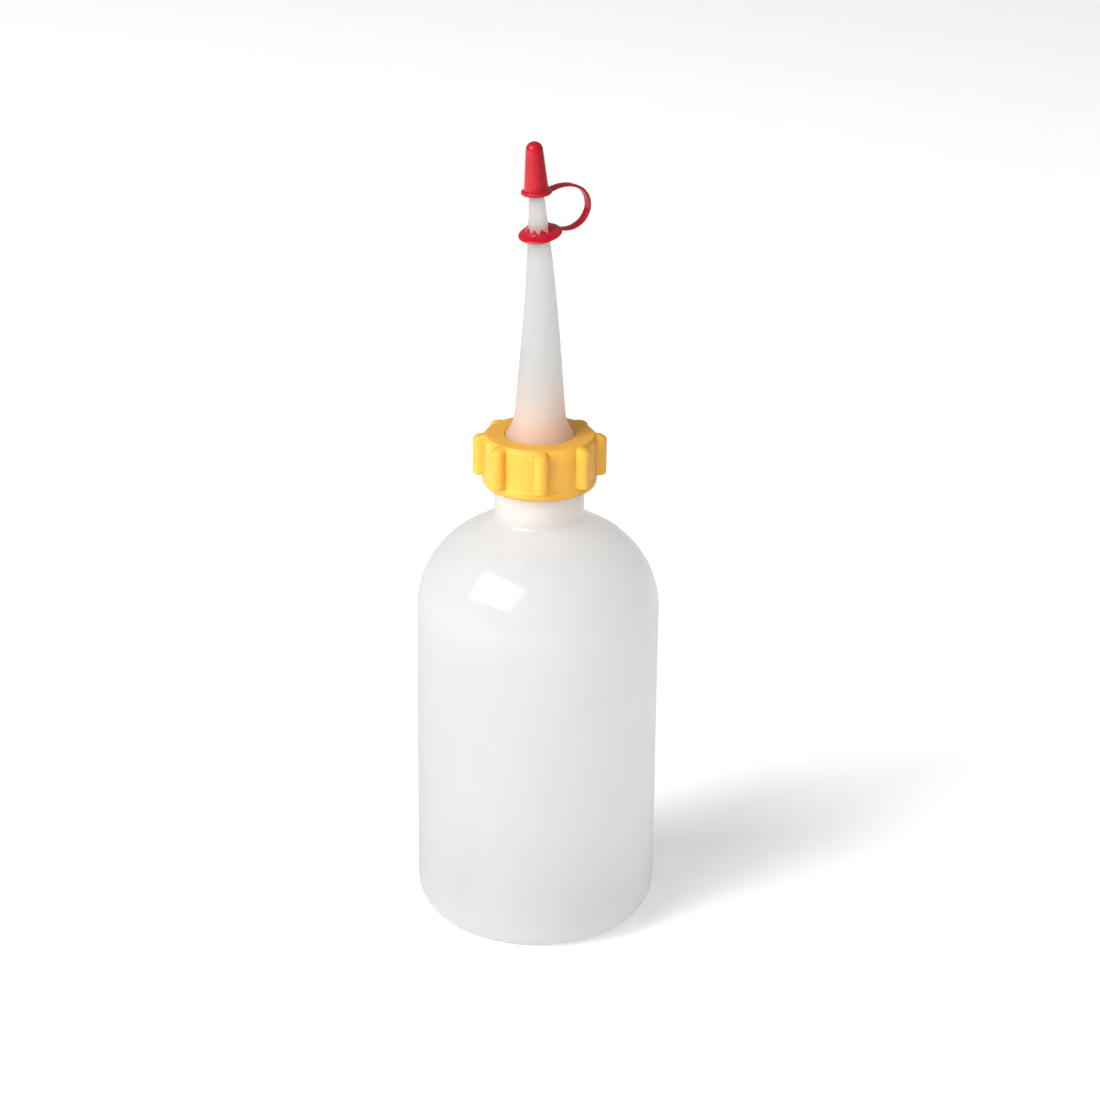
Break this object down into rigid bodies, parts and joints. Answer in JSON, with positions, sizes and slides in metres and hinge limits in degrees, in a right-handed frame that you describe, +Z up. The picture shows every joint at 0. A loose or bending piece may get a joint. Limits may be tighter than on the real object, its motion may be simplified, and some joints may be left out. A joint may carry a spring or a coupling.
{
  "type": "glue applicator bottle",
  "caption": "Translucent squeeze bottle with a ribbed screw nut, a long tapered applicator nozzle and a small tip cap tethered to a toothed collar.",
  "frame": {"origin": "centre of the foot ring's underside, on the surface the bottle stands on", "axes": "+Z up along the bottle's axis; -Y is the front; the nozzle's tip leans towards -X"},
  "size_m": [0.076, 0.076, 0.2541],
  "materials": {
    "bottle_plastic": "milky translucent, satin",
    "nut_plastic": "warm yellow, semi-gloss",
    "nozzle_plastic": "natural translucent, satin",
    "cap_plastic": "red, glossy"
  },
  "bodies": {
    "bottle": {"bottle": "bottle_plastic"},
    "nozzle": {"nozzle": "nozzle_plastic"},
    "nut": {"screw_nut": "nut_plastic"},
    "collar": {"tether_collar": "cap_plastic", "tether_strap": "cap_plastic"},
    "cap": {"tip_cap": "cap_plastic"}
  },
  "joints": [
    {"name": "nozzle_rise", "type": "slide", "parent": "bottle", "child": "nozzle", "axis": [0, 0, 1], "range_m": [0, 0.008]},
    {"name": "nut_turn", "type": "hinge", "parent": "nozzle", "child": "nut", "pos_m": [0, 0, 0.1545], "axis": [0, 0, 1], "range_deg": [0, 720]},
    {"name": "collar_swivel", "type": "hinge", "parent": "nozzle", "child": "collar", "pos_m": [-0.00101, 0, 0.22598], "axis": [-0.0576, 0, 0.9983], "continuous": true},
    {"name": "cap_pull", "type": "slide", "parent": "collar", "child": "cap", "axis": [-0.0576, 0, 0.9983], "range_m": [0, 0.0155], "deforming": ["tether_strap"]}
  ],
  "couplings": [
    {"joint": "nozzle_rise", "follows": "nut_turn", "m_per_rad": 0.00063662}
  ]
}
